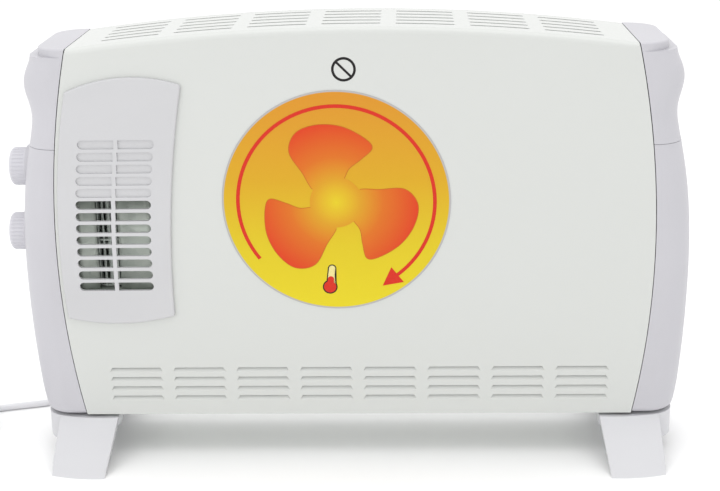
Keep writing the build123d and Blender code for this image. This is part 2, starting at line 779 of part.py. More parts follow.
with BuildPart() as thermal_cutout:
    with BuildSketch(Plane.YZ.offset(element_x[1] + sheet)):
        with Locations((0, base_top + 146)):
            Circle(8.0)
    extrude(amount=5.0)
    with BuildSketch(Plane.YZ.offset(element_x[1] + sheet + 5)):
        with Locations((0, base_top + 146)):
            Circle(4.5)
    extrude(amount=4.0)
    with Locations(*[(element_x[1] + sheet + 7, y, base_top + 146) for y in (-9, 9)]):
        Box(6, 5, 0.8)
    with Locations((element_x[1] + sheet + 4.4, 0, base_top + 146)):
        Box(1.0, 18, 6)
save(thermal_cutout.part, "thermal_cutout")

# ---------------------------------------------------------------- controls
control_plate = 1.2
with BuildPart() as control_bracket:
    with Locations((control_plate_x, knob_y, (thermostat_z + selector_z) / 2)):
        Box(control_plate, 34, 106)
    for z in (thermostat_z, selector_z):
        with Locations((control_plate_x, knob_y, z)):
            Cylinder(3.6, 10, rotation=(0, 90, 0), mode=Mode.SUBTRACT)
    with Locations((control_plate_x, knob_y + 24, 250)):
        Box(control_plate, 16, 30)
    for y in (knob_y - 13, knob_y + 13):
        with Locations((control_plate_x - 12, y, 242)):
            Cylinder(3.5, 24 - control_plate, rotation=(0, 90, 0))
    add(cap_loft(lower_cap_half, wall + 0.1, -1), mode=Mode.INTERSECT)
save(control_bracket.part, "control_bracket")


def switch_body(z, size, depth, terminals):
    """Body of a rotary control, on the inner face of its bracket, with a bore for the spindle."""
    face_x = control_plate_x + control_plate / 2
    with BuildPart() as body:
        with Locations((face_x + depth / 2, knob_y, z)):
            Box(depth, size, size)
            fillet(body.edges().filter_by(Axis.X), radius=2.0)
        for i in range(terminals):
            offset = (i - (terminals - 1) / 2) * size / terminals
            with Locations((face_x + depth + 1.5, knob_y + offset, z - size / 2 + 4)):
                Box(3.0, 0.8, 5.0)
        with Locations((face_x + 4, knob_y, z)):
            Cylinder(spindle_radius + running_gap, 8, rotation=(0, 90, 0), mode=Mode.SUBTRACT)
    return body.part


save(switch_body(thermostat_z, 27.0, 15.0, 2), "thermostat")
save(switch_body(selector_z, 28.0, 13.0, 5), "selector_switch")

rib_count = 30


def knob(z, seat_x):
    """Ribbed knob with a rounded outer end, pressed on its spindle."""
    base = -seat_x - knob_gap
    with BuildPart() as body:
        with BuildSketch(Plane.YZ.offset(base)):
            with Locations((knob_y, z)):
                Circle(knob_radius)
        extrude(amount=-knob_height)
        tip = body.faces().sort_by(Axis.X)[0]
        fillet(tip.edges(), radius=4.0)
        with BuildSketch(Plane.YZ.offset(base - knob_height - 1)):
            with Locations((knob_y, z)):
                with PolarLocations(knob_radius + 0.35, rib_count):
                    Circle(0.9)
        extrude(amount=knob_height - 0.5, mode=Mode.SUBTRACT)
        with Locations((base - knob_height - 0.2, knob_y, z + 9.5)):
            Box(1.6, 1.6, 8.0)
        with BuildSketch(Plane.YZ.offset(base)):
            with Locations((knob_y, z)):
                Circle(knob_radius - 2.2)
                Circle(5.5, mode=Mode.SUBTRACT)
        extrude(amount=-(knob_height - 4), mode=Mode.SUBTRACT)
        with BuildSketch(Plane.YZ.offset(base)):
            with Locations((knob_y, z)):
                Circle(spindle_radius)
        extrude(amount=-8, mode=Mode.SUBTRACT)
    return body.part


def spindle(z, seat_x):
    start = control_plate_x + control_plate / 2 + 7.5
    end = -seat_x - knob_gap - 8
    with BuildPart() as rod:
        with BuildSketch(Plane.YZ.offset(start)):
            with Locations((knob_y, z)):
                Circle(spindle_radius)
        extrude(amount=end - start)
    return rod.part


for name, (z, seat_x) in knob_seats.items():
    save(knob(z, seat_x), f"{name}_knob")
    save(spindle(z, seat_x), f"{name}_spindle")

# ---------------------------------------------------------------- terminal block and wiring
block_at = (-252.0, 24.0, 96.0)
with BuildPart() as terminal_block:
    with Locations(block_at):
        Box(12, 18, 36)
        for i in range(3):
            with Locations((-5, 0, (i - 1) * 11.5)):
                Cylinder(2.6, 8, rotation=(0, 90, 0), mode=Mode.SUBTRACT)
save(terminal_block.part, "terminal_block")

wire_radius = 1.4
wire_routes = [
    [(-252.0, 14.8, 84.5), (-256.0, 4.0, 92.0), (-262.0, -12.0, 130.0), (-262.0, -12.0, 175.0),
     (-261.0, -10.0, 192.0)],
    [(-252.0, 14.8, 107.5), (-258.0, 8.0, 118.0), (-266.0, 12.0, 140.0), (-266.0, 14.0, 200.0),
     (-262.0, 8.6, 214.0)],
    [(-246.0, 24.0, 96.0), (-236.0, 27.0, 95.0), (-212.0, 30.0, 86.0), (-190.0, 30.0, 77.0),
     (-172.7, 30.0, 76.0), (-161.0, 26.0, 79.0), (-152.6, 20.0, 86.0)],
    [(-231.0, 34.0, 260.4), (-240.0, 33.0, 249.0), (-256.0, 24.0, 210.0), (-254.0, 20.0, 140.0),
     (-252.0, 22.0, 114.0)],
]


def wire(route):
    with BuildPart() as strand:
        with BuildLine() as path:
            Spline(*route)
        with BuildSketch(Plane(origin=path.line @ 0, z_dir=path.line % 0)):
            Circle(wire_radius)
        sweep()
    return strand.part


wires = [wire(route) for route in wire_routes]
with BuildPart() as internal_wiring:
    add(wires)
save(internal_wiring.part, "internal_wiring")

# ---------------------------------------------------------------- screws


def screw(axis_plane, length, head_radius=3.6, head_height=2.2):
    """Pan-head screw with a cross recess: the shank runs along the plane's normal."""
    with BuildPart() as body:
        with BuildSketch(axis_plane):
            Circle(screw_radius)
        extrude(amount=length)
        with BuildSketch(axis_plane):
            Circle(head_radius)
        extrude(amount=-head_height)
        outer = body.faces().sort_by_distance(axis_plane.origin - axis_plane.z_dir * 9)[0]
        fillet(outer.edges(), radius=1.0)
        with BuildSketch(axis_plane.offset(-head_height)):
            Rectangle(3.6, 0.9)
            Rectangle(0.9, 3.6)
        extrude(amount=1.2, mode=Mode.SUBTRACT)
    return body.part


cap_fixings = [
    screw(Plane(origin=(side * (side_frame_x - sheet), y, z), z_dir=(side, 0, 0)), 14)
    for side in (-1, 1)
    for y, z in boss_sites
]
with BuildPart() as cap_screws:
    add(cap_fixings)
save(cap_screws.part, "cap_screws")

foot_fixings = [
    screw(Plane(origin=(side * foot_screw_x, y, foot_top - foot_wall), z_dir=(0, 0, 1)), 12)
    for side in (-1, 1)
    for y in (-foot_screw_y, foot_screw_y)
]
with BuildPart() as foot_screws:
    add(foot_fixings)
save(foot_screws.part, "foot_screws")

# ---------------------------------------------------------------- mains cord
gland_length = 22.0
gland_y = -skin_y(cord_exit_z + 7.5)
with BuildPart() as cord_gland:
    with BuildSketch(Plane.XZ.offset(-gland_y + wall + 2)) as barrel:
        with Locations((cord_exit_x, cord_exit_z)):
            Circle(gland_radius - 0.1)
    extrude(amount=-(wall + 2))
    with BuildSketch(Plane.XZ.offset(-gland_y)):
        with Locations((cord_exit_x, cord_exit_z)):
            Circle(7.5)
    extrude(amount=-2.0)
    with BuildSketch(Plane.XZ.offset(-gland_y - 2)):
        with Locations((cord_exit_x, cord_exit_z)):
            Circle(6.0)
    with BuildSketch(Plane.XZ.offset(-gland_y - gland_length)):
        with Locations((cord_exit_x, cord_exit_z)):
            Circle(cord_diameter / 2 + 0.9)
    loft()
save(cord_gland.part, "cord_gland")

floor_z = cord_diameter / 2 + 0.1
coil_centre = (-400.0, 12.0)
coil_outer = coil_middle_radius + cord_diameter / 2
cord_route = [
    (cord_exit_x, gland_y + gland_length, cord_exit_z),
    (-265.0, 78.5, 66.0),
    (-262.4, 97.1, 60.5),
    (-265.4, 111.2, 46.9),
    (-273.5, 116.3, 29.3),
    (-284.2, 110.5, 12.9),
    (-294.5, 95.2, floor_z),
    (-312.5, 76.0, floor_z),
    (-328.0, 70.4, floor_z),
    (-345.0, 65.7, floor_z + 0.1),
    (-363.2, 60.2, floor_z),
    (-382.6, 54.6, floor_z + 0.1),
    (coil_centre[0] - 2, coil_centre[1] + coil_outer, floor_z),
]


def cord_tube(points):
    """Tube of the cord's diameter along straight runs joined by arcs as large as they allow."""
    runs = [Vector(*b) - Vector(*a) for a, b in zip(points, points[1:])]
    radii = [
        0.45 * min(a.length, b.length) / sin(radians(a.get_angle(b)) / 2)
        * cos(radians(a.get_angle(b)) / 2)
        for a, b in zip(runs, runs[1:])
    ]
    with BuildPart() as tube:
        with BuildLine() as path:
            FilletPolyline(*points, radius=radii)
        with BuildSketch(Plane(origin=points[0], z_dir=runs[0])):
            Circle(cord_diameter / 2)
        sweep()
    print("cord radii", [round(r, 1) for r in radii], "runs", [round(r.length, 1) for r in runs])
    length = sum(edge.length for edge in path.edges())
    print("length", round(length, 1), "volume over section times length",
          round(tube.part.volume / (pi * cord_diameter**2 / 4 * length), 4))
    return tube.part


save(cord_tube(cord_route), "mains_cord")

coil_height = 3 * cord_diameter
with BuildPart() as cord_coil:
    with BuildSketch(Plane.XZ) as ring:
        with Locations((coil_middle_radius, coil_height / 2 + 0.1)):
            RectangleRounded(2 * cord_diameter + 0.4, coil_height, 2.8)
    revolve(axis=Axis.Z)
cord_coil_part = cord_coil.part.moved(Location((*coil_centre, 0)))
save(cord_coil_part, "cord_coil")

plug_radius = 18.5
plug_length = 34.0
tail_z = coil_height - cord_diameter / 2
tail_route = [
    (coil_centre[0] - coil_outer, coil_centre[1] - 2.0, tail_z),
    (coil_centre[0] - coil_outer + 0.4, coil_centre[1] - 15.0, tail_z + 0.6),
    (coil_centre[0] - coil_outer, coil_centre[1] - 27.0, plug_radius),
    (coil_centre[0] - coil_outer - 0.3, coil_centre[1] - 39.0, plug_radius + 0.1),
]
save(cord_tube(tail_route), "cord_tail")

plug_face = Plane(origin=tail_route[3], x_dir=(1, 0, 0), z_dir=(0, -1, 0))
with BuildPart() as mains_plug:
    with BuildSketch(plug_face):
        Circle(cord_diameter / 2 + 0.9)
    with BuildSketch(plug_face.offset(22)):
        Circle(7.0)
    loft()
    with BuildSketch(plug_face.offset(22)):
        Circle(13.0)
    with BuildSketch(plug_face.offset(34)):
        Circle(plug_radius)
    loft()
    with BuildSketch(plug_face.offset(34)):
        Circle(plug_radius)
    extrude(amount=plug_length - 12)
    with BuildSketch(plug_face.offset(22 + plug_length)):
        with Locations((0, 9.5)):
            Circle(2.6)
    extrude(amount=-16, mode=Mode.SUBTRACT)
    for flat in (-1, 1):
        with BuildSketch(plug_face.offset(30)):
            with Locations((flat * plug_radius, 0)):
                Rectangle(4.4, 11)
        extrude(amount=plug_length, mode=Mode.SUBTRACT)
save(mains_plug.part, "mains_plug")

with BuildPart() as plug_pins:
    with BuildSketch(plug_face.offset(22 + plug_length)):
        with Locations((-9.5, 0), (9.5, 0)):
            Circle(2.4)
    extrude(amount=19)
    fillet(plug_pins.faces().sort_by(Axis.Y)[:2].edges(), radius=1.2)
save(plug_pins.part, "plug_pins")
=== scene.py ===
"""Fan convector heater on a plain pale floor: looks, cord and printed graphics over the fixed frame.

Lengths are metres in the frame's own axes; helper tables in millimetres say so.
"""

import json

import bmesh
import bpy
from math import atan2, cos, hypot, pi, radians, sin
from mathutils import Matrix, Vector


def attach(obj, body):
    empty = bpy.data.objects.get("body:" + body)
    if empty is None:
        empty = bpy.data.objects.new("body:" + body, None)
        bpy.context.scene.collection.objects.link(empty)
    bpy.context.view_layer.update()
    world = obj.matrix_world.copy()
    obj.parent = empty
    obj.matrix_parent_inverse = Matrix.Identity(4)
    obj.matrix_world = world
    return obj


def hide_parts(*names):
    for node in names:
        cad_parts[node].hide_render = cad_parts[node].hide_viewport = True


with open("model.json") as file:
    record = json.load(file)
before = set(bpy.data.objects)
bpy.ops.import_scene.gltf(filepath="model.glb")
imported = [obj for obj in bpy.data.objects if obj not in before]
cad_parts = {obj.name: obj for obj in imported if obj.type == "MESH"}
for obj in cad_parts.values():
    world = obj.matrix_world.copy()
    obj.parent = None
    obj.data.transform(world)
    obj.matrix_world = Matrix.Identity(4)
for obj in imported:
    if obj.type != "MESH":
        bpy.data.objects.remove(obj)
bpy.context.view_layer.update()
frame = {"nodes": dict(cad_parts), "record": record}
nodes = frame["nodes"]
scene = bpy.context.scene
MM = 0.001

# ------------------------------------------------------------------ camera
YAW, PITCH, ROLL = radians(-1.9404), radians(17.4924), radians(-0.9774)
CAMERA_AT = (0.05498, -1.27574, 0.59337)
FOCAL_MM = 72.834
SENSOR_MM = 36.0


def make_camera():
    forward = Vector((sin(YAW) * cos(PITCH), cos(YAW) * cos(PITCH), -sin(PITCH)))
    level = Vector((cos(YAW), -sin(YAW), 0.0))
    upright = level.cross(forward)
    side = level * cos(ROLL) + upright * sin(ROLL)
    top = upright * cos(ROLL) - level * sin(ROLL)
    data = bpy.data.cameras.new("camera")
    data.lens, data.sensor_width, data.sensor_fit = FOCAL_MM, SENSOR_MM, "HORIZONTAL"
    data.clip_start, data.clip_end = 0.05, 60.0
    camera = bpy.data.objects.new("camera", data)
    turn = Matrix((side, top, -forward)).transposed().to_4x4()
    camera.matrix_world = Matrix.Translation(CAMERA_AT) @ turn
    scene.collection.objects.link(camera)
    scene.camera = camera


make_camera()

# ------------------------------------------------------------------ cord
SHIFT = 8.3                     # mm, casing's centre plane to the frame's origin
CORD_D = 6.4
FLOOR_Z = CORD_D / 2 + 0.1
COIL_AT = (-400.0, 12.0)
COIL_OUT, COIL_IN = 38.2, 31.8
GLAND_TIP = (-265.0, 66.2197, 66.0)
ROUTE = [
    GLAND_TIP, (-265.0, 78.5, 66.0), (-262.4, 97.1, 60.5), (-265.4, 111.2, 46.9),
    (-273.5, 116.3, 29.3), (-284.2, 110.5, 12.9), (-294.5, 95.2, FLOOR_Z), (-312.5, 76.0, FLOOR_Z),
    (-328.0, 70.4, FLOOR_Z), (-345.0, 65.7, FLOOR_Z + 0.1), (-363.2, 60.2, FLOOR_Z),
    (-382.6, 54.6, FLOOR_Z + 0.1),
]
# (degrees wound so far, radius, height): each step to the next ring ends before the one under it
COIL_STATES = [
    (90, COIL_OUT, 3.3), (390, COIL_OUT, 3.3), (450, COIL_IN, 3.3), (690, COIL_IN, 3.3),
    (750, COIL_IN, 9.75), (990, COIL_IN, 9.75), (1050, COIL_OUT, 9.75), (1290, COIL_OUT, 9.75),
    (1350, COIL_OUT, 16.15), (1620, COIL_OUT, 16.15),
]
COIL_STEP = 24
TAIL = [(-437.9, -3.0, 16.7), (-438.2, -15.0, 18.5), (-438.5, -27.0, 18.6)]


def coil_points():
    spread = 1 / (0.75 + 0.25 * cos(radians(COIL_STEP)))
    points = []
    for angle in range(COIL_STATES[0][0], COIL_STATES[-1][0], COIL_STEP):
        for (a0, r0, z0), (a1, r1, z1) in zip(COIL_STATES, COIL_STATES[1:]):
            if a0 <= angle <= a1:
                t = (angle - a0) / (a1 - a0)
                t = t * t * (3 - 2 * t)
                r, z = (r0 + (r1 - r0) * t) * spread, z0 + (z1 - z0) * t
                break
        points.append((COIL_AT[0] + r * cos(radians(angle)), COIL_AT[1] + r * sin(radians(angle)), z))
    return points


def make_cord():
    points = ROUTE + coil_points() + TAIL
    curve = bpy.data.curves.new("mains_lead", "CURVE")
    curve.dimensions = "3D"
    spline = curve.splines.new("NURBS")
    spline.points.add(len(points) - 1)
    for target, (x, y, z) in zip(spline.points, points):
        target.co = ((x + SHIFT) * MM, y * MM, z * MM, 1.0)
        target.radius = CORD_D / 2 * MM
    spline.order_u = 3
    spline.use_endpoint_u = True
    spline.resolution_u = 8
    curve.bevel_depth = 1.0
    curve.bevel_resolution = 5
    lead = bpy.data.objects.new("mains_lead", curve)
    scene.collection.objects.link(lead)
    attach(lead, "casing")
    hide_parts("mains_cord", "cord_coil", "cord_tail")
    return lead


lead = make_cord()

# ------------------------------------------------------------------ materials


def srgb(r, g, b):
    """Linear colour of an 8-bit sRGB triple."""
    def channel(v):
        v /= 255.0
        return v / 12.92 if v <= 0.04045 else ((v + 0.055) / 1.055) ** 2.4
    return (channel(r), channel(g), channel(b), 1.0)


class Shader:
    """A material with its shader, object coordinates and short calls for the usual nodes."""

    def __init__(self, name, **sockets):
        self.material = bpy.data.materials.new(name)
        self.material.use_nodes = True
        self.tree = self.material.node_tree
        self.tree.nodes.clear()
        self.bsdf = self.node("ShaderNodeBsdfPrincipled")
        output = self.node("ShaderNodeOutputMaterial")
        self.link(self.bsdf.outputs[0], output.inputs["Surface"])
        self.where = self.node("ShaderNodeTexCoord").outputs["Object"]
        for key, value in sockets.items():
            self.bsdf.inputs[key.replace("_", " ")].default_value = value

    def node(self, kind, **values):
        made = self.tree.nodes.new(kind)
        for key, value in values.items():
            if key in made.inputs:
                made.inputs[key].default_value = value
            else:
                setattr(made, key, value)
        return made

    def link(self, source, target):
        self.tree.links.new(source, target)

    def stretched(self, scale):
        mapping = self.node("ShaderNodeMapping", Scale=scale)
        self.link(self.where, mapping.inputs["Vector"])
        return mapping.outputs[0]

    def noise(self, scale, detail=3.0, rough=0.55, where=None):
        made = self.node("ShaderNodeTexNoise", Scale=scale, Detail=detail, Roughness=rough)
        self.link(where or self.where, made.inputs["Vector"])
        return made.outputs["Fac"]

    def ramp(self, fac, stops):
        made = self.node("ShaderNodeValToRGB")
        band = made.color_ramp
        while len(band.elements) < len(stops):
            band.elements.new(0.5)
        for element, (at, colour) in zip(band.elements, stops):
            element.position, element.color = at, colour
        self.link(fac, made.inputs["Fac"])
        return made.outputs["Color"]

    def span(self, fac, low, high, start=0.3, end=0.7):
        made = self.node("ShaderNodeMapRange", **{
            "From Min": start, "From Max": end, "To Min": low, "To Max": high})
        self.link(fac, made.inputs["Value"])
        return made.outputs[0]

    def math(self, operation, a, b=0.0):
        made = self.node("ShaderNodeMath", operation=operation)
        for socket, value in zip(made.inputs, (a, b)):
            if isinstance(value, (int, float)):
                socket.default_value = value
            else:
                self.link(value, socket)
        return made.outputs[0]

    def mix(self, fac, a, b):
        made = self.node("ShaderNodeMix", data_type="RGBA")
        self.link(fac, made.inputs["Factor"])
        for socket, value in zip(made.inputs[6:8], (a, b)):
            if isinstance(value, tuple):
                socket.default_value = value
            else:
                self.link(value, socket)
        return made.outputs[2]

    def colour(self, source):
        self.link(source, self.bsdf.inputs["Base Color"])

    def roughness(self, source):
        self.link(source, self.bsdf.inputs["Roughness"])

    def bump(self, *layers):
        """Each layer is (height, distance in metres)."""
        normal = None
        for height, distance in layers:
            made = self.node("ShaderNodeBump", Strength=1.0, Distance=distance)
            self.link(height, made.inputs["Height"])
            if normal:
                self.link(normal, made.inputs["Normal"])
            normal = made.outputs[0]
        self.link(normal, self.bsdf.inputs["Normal"])


def toned(colour, factor):
    return tuple(min(1.0, c * factor) for c in colour[:3]) + (1.0,)


def moulded(name, colour, rough=0.42, shade=0.02, grain=1500.0, depth=0.000012, **sockets):
    """Moulded plastic: soft flow-mark tone, fine spark-eroded grain."""
    s = Shader(name, **sockets)
    flow = s.noise(5.0, 2.0, where=s.stretched((1.0, 1.0, 2.6)))
    fine = s.noise(grain, 2.0)
    s.colour(s.mix(s.span(flow, 0.0, 1.0), toned(colour, 1 - shade), toned(colour, 1 + shade)))
    s.roughness(s.span(fine, rough - 0.05, rough + 0.07))
    s.bump((s.noise(160.0, 2.0), depth), (fine, depth * 0.6))
    return s.material


def coated(name, colour):
    """Powder coat: orange peel a few millimetres across, slightly glossy."""
    s = Shader(name)
    s.bsdf.inputs["Coat Weight"].default_value = 0.25
    s.bsdf.inputs["Coat Roughness"].default_value = 0.22
    tone = s.noise(3.0, 2.0)
    s.colour(s.mix(s.span(tone, 0.0, 1.0), toned(colour, 0.99), toned(colour, 1.01)))
    s.roughness(s.span(s.noise(420.0, 2.0), 0.30, 0.40))
    s.bump((s.noise(380.0, 2.0), 0.000010))
    return s.material


def galvanised():
    s = Shader("galvanised", Metallic=0.25)
    spangle = s.node("ShaderNodeTexVoronoi", Scale=130.0)
    s.link(s.where, spangle.inputs["Vector"])
    shade = s.ramp(spangle.outputs["Color"], [
        (0.0, srgb(182, 190, 182)), (0.5, srgb(192, 199, 191)), (1.0, srgb(202, 208, 200))])
    s.colour(shade)
    s.roughness(s.span(s.noise(60.0, 4.0), 0.36, 0.56))
    s.bump((s.noise(300.0, 3.0), 0.00002))
    return s.material


def metal(name, colour, rough, streak=(1.0, 1.0, 1.0), scale=60.0, depth=0.000015, shade=0.08,
          metallic=1.0):
    s = Shader(name, Metallic=metallic)
    lines = s.noise(scale, 4.0, where=s.stretched(streak))
    s.colour(s.mix(s.span(lines, 0.0, 1.0), toned(colour, 1 - shade), toned(colour, 1 + shade)))
    s.roughness(s.span(lines, rough - 0.07, rough + 0.1))
    s.bump((lines, depth))
    return s.material


def banded(name, colour, dark, pitch, depth, rough, metallic, axis="Z"):
    """Stacked or wound surface: fine even bands across one axis."""
    s = Shader(name, Metallic=metallic)
    wave = s.node("ShaderNodeTexWave", bands_direction=axis, Scale=1 / pitch / 6.0, Distortion=0.6)
    s.link(s.where, wave.inputs["Vector"])
    s.colour(s.ramp(wave.outputs["Fac"], [(0.0, dark), (0.45, colour), (1.0, toned(colour, 1.1))]))
    s.roughness(s.span(s.noise(200.0), rough - 0.06, rough + 0.1))
    s.bump((wave.outputs["Fac"], depth))
    return s.material


def mica():
    s = Shader("mica")
    layers = s.noise(40.0, 6.0, where=s.stretched((0.4, 1.0, 1.0)))
    s.colour(s.ramp(layers, [
        (0.3, srgb(158, 140, 108)), (0.55, srgb(196, 180, 146)), (0.75, srgb(214, 202, 172))]))
    s.roughness(s.span(s.noise(260.0), 0.22, 0.5))
    s.bump((layers, 0.00005))
    return s.material


def radial(s, centre):
    """Distance in metres from a point on the front, as a shader value."""
    split = s.node("ShaderNodeSeparateXYZ")
    s.link(s.where, split.inputs[0])
    dx = s.math("SUBTRACT", split.outputs["X"], centre[0])
    dz = s.math("SUBTRACT", split.outputs["Z"], centre[1])
    reach = s.math("SQRT", s.math("ADD", s.math("MULTIPLY", dx, dx), s.math("MULTIPLY", dz, dz)))
    return reach, split.outputs["Z"]


LABEL_AT = ((-14.8 + SHIFT) * MM, 247.7 * MM)
LABEL_R = 0.100
MARK_AT = ((-6.1 + SHIFT) * MM, 365.3 * MM)


def label_film():
    s = Shader("label_film", Specular_IOR_Level=0.25)
    reach, height = radial(s, LABEL_AT)
    rise = s.span(height, 0.0, 1.0, LABEL_AT[1] - LABEL_R, LABEL_AT[1] + LABEL_R)
    ground = s.ramp(rise, [
        (0.0, srgb(214, 197, 30)), (0.30, srgb(207, 184, 28)), (0.60, srgb(203, 156, 27)),
        (1.0, srgb(203, 135, 35))])
    rim = s.span(reach, 0.0, 1.0, LABEL_R - 0.0018, LABEL_R - 0.0014)
    s.colour(s.mix(rim, ground, srgb(172, 170, 168)))
    s.roughness(s.span(s.noise(500.0), 0.3, 0.38))
    s.bump((s.noise(240.0, 2.0), 0.000008))
    return s.material


def blade_print():
    s = Shader("blade_print", Specular_IOR_Level=0.25)
    reach, _ = radial(s, LABEL_AT)
    part = s.math("DIVIDE", reach, 0.074)
    s.colour(s.ramp(part, [
        (0.0, srgb(212, 190, 30)), (0.28, srgb(204, 148, 28)), (0.55, srgb(205, 106, 24)),
        (0.98, srgb(205, 56, 20))]))
    s.roughness(s.span(s.noise(500.0), 0.3, 0.38))
    return s.material


def ink(name, colour):
    s = Shader(name, Specular_IOR_Level=0.25)
    s.colour(s.mix(s.span(s.noise(900.0), 0.0, 1.0), toned(colour, 0.94), toned(colour, 1.06)))
    s.roughness(s.span(s.noise(500.0), 0.34, 0.44))
    return s.material


def wire_jackets():
    """Insulated wires: brown, blue and yellow-green sorted by where each runs."""
    s = Shader("wire_pvc")
    split = s.node("ShaderNodeSeparateXYZ")
    s.link(s.where, split.inputs[0])
    height = s.span(split.outputs["Z"], 0.0, 1.0, 0.07, 0.27)
    s.colour(s.ramp(height, [
        (0.0, srgb(196, 184, 60)), (0.18, srgb(72, 104, 168)), (0.5, srgb(122, 84, 56)),
        (1.0, srgb(214, 208, 196))]))
    s.roughness(s.span(s.noise(600.0), 0.35, 0.45))
    s.bump((s.noise(700.0), 0.00001))
    return s.material


WHITE = srgb(199, 201, 198)
CAP = srgb(187, 186, 191)
materials = {
    "white_steel": coated("white_steel", WHITE),
    "cover_plastic": moulded("cover_plastic", srgb(191, 191, 193), rough=0.36),
    "cap_plastic": moulded("cap_plastic", CAP, rough=0.42),
    "foot_plastic": moulded("foot_plastic", srgb(200, 200, 203), rough=0.42),
    "knob_plastic": moulded("knob_plastic", srgb(196, 195, 201), rough=0.36),
    "galvanised": galvanised(),
    "motor_steel": banded("motor_steel", srgb(150, 152, 156), srgb(70, 72, 76), 0.0006, 0.0001, 0.42, 0.9),
    "aluminium": metal("aluminium", srgb(186, 193, 187), 0.5, (1.0, 1.0, 5.0), metallic=0.2),
    "mica": mica(),
    "element_alloy": metal("element_alloy", srgb(112, 104, 98), 0.45, scale=90.0, shade=0.2),
    "copper_coil": banded("copper_coil", srgb(196, 116, 66), srgb(110, 52, 26), 0.0005, 0.0001, 0.3, 0.85),
    "bronze": metal("bronze", srgb(186, 146, 92), 0.4),
    "dark_moulding": moulded("dark_moulding", srgb(54, 54, 57), rough=0.45, shade=0.1),
    "screw_steel": metal("screw_steel", srgb(204, 204, 206), 0.3, (3.0, 3.0, 1.0)),
    "label_film": label_film(),
    "wire_pvc": wire_jackets(),
    "cord_pvc": moulded("cord_pvc", srgb(219, 219, 222), rough=0.38, grain=900.0, depth=0.00003),
    "pin_nickel": metal("pin_nickel", srgb(216, 212, 204), 0.2),
}
inks = {
    "blade": blade_print(),
    "outline": ink("outline_ink", srgb(186, 98, 22)),
    "red": ink("red_ink", srgb(200, 42, 24)),
    "black": ink("black_ink", srgb(22, 20, 20)),
    "cream": ink("cream_ink", srgb(220, 208, 140)),
}

for entry in frame["record"]["subparts"]:
    mesh = nodes[entry["node"]].data
    mesh.materials.clear()
    mesh.materials.append(materials[entry["material_slot"]])
lead.data.materials.append(materials["cord_pvc"])

# ------------------------------------------------------------------ printed graphics
SKIN_R, SKIN_Z, HALF_DEPTH = 4850.0, 425.6, 57.0
STRIP = 5.0                     # mm, height of the strips a print is cut into to follow the bow


def skin_y(z_mm):
    return -HALF_DEPTH + (z_mm - SKIN_Z) ** 2 / (2 * SKIN_R)


def printed(name, polygons, centre, proud, colour, thick=0.03):
    """Thin printed shape that follows the bowed front. Polygons are (x, z) in mm about centre."""
    shape = bmesh.new()
    for polygon in polygons:
        shape.faces.new([shape.verts.new((x, 0.0, z)) for x, z in polygon])
    bmesh.ops.triangulate(shape, faces=shape.faces[:])
    heights = [v.co.z for v in shape.verts]
    cut = min(heights) + STRIP
    while cut < max(heights):
        geometry = shape.verts[:] + shape.edges[:] + shape.faces[:]
        bmesh.ops.bisect_plane(shape, geom=geometry, plane_co=(0, 0, cut), plane_no=(0, 0, 1))
        cut += STRIP
    bmesh.ops.remove_doubles(shape, verts=shape.verts[:], dist=1e-4)
    for v in shape.verts:
        x, z = v.co.x + centre[0] / MM, v.co.z + centre[1] / MM
        v.co = (x * MM, (skin_y(z) - proud) * MM, z * MM)
    bmesh.ops.recalc_face_normals(shape, faces=shape.faces[:])
    if sum(f.normal.y * f.calc_area() for f in shape.faces) > 0:
        bmesh.ops.reverse_faces(shape, faces=shape.faces[:])
    mesh = bpy.data.meshes.new(name)
    shape.to_mesh(mesh)
    shape.free()
    piece = bpy.data.objects.new(name, mesh)
    scene.collection.objects.link(piece)
    film = piece.modifiers.new("film", "SOLIDIFY")
    film.thickness, film.offset = thick * MM, -1.0
    mesh.materials.append(inks[colour])
    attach(piece, "casing")
    return piece


def smooth_loop(points, steps=10):
    """Closed Catmull-Rom line through the points."""
    line, count = [], len(points)
    for i in range(count):
        p0, p1, p2, p3 = (Vector(points[(i + k) % count]) for k in (-1, 0, 1, 2))
        for j in range(steps):
            t = j / steps
            line.append(tuple(0.5 * (
                2 * p1 + (p2 - p0) * t + (2 * p0 - 5 * p1 + 4 * p2 - p3) * t * t
                + (3 * p1 - p0 - 3 * p2 + p3) * t * t * t)))
    return line


def turned(points, degrees):
    c, s = cos(radians(degrees)), sin(radians(degrees))
    return [(x * c - z * s, x * s + z * c) for x, z in points]


def band(line, width, closed=True):
    """Strip of quads along a line of (x, z) points."""
    count = len(line)
    sides = []
    for i, (x, z) in enumerate(line):
        ax, az = line[(i - 1) % count] if closed or i else line[i]
        bx, bz = line[(i + 1) % count] if closed or i < count - 1 else line[i]
        length = hypot(bx - ax, bz - az)
        nx, nz = -(bz - az) / length * width / 2, (bx - ax) / length * width / 2
        sides.append(((x + nx, z + nz), (x - nx, z - nz)))
    pairs = zip(sides, sides[1:] + sides[:1]) if closed else zip(sides, sides[1:])
    return [[a0, b0, b1, a1] for (a0, a1), (b0, b1) in pairs]


def arc(radius, start, end, steps=72):
    turn = (end - start) / steps
    return [(radius * cos(radians(start + turn * i)), radius * sin(radians(start + turn * i)))
            for i in range(steps + 1)]


HUB_R = 23.0
BLADE = [(-17, 12), (-26, 30), (-35, 50), (-27, 66), (-8, 71), (13, 67), (31, 55), (37, 45),
         (26, 36), (15, 29), (9, 20), (0, 12)]


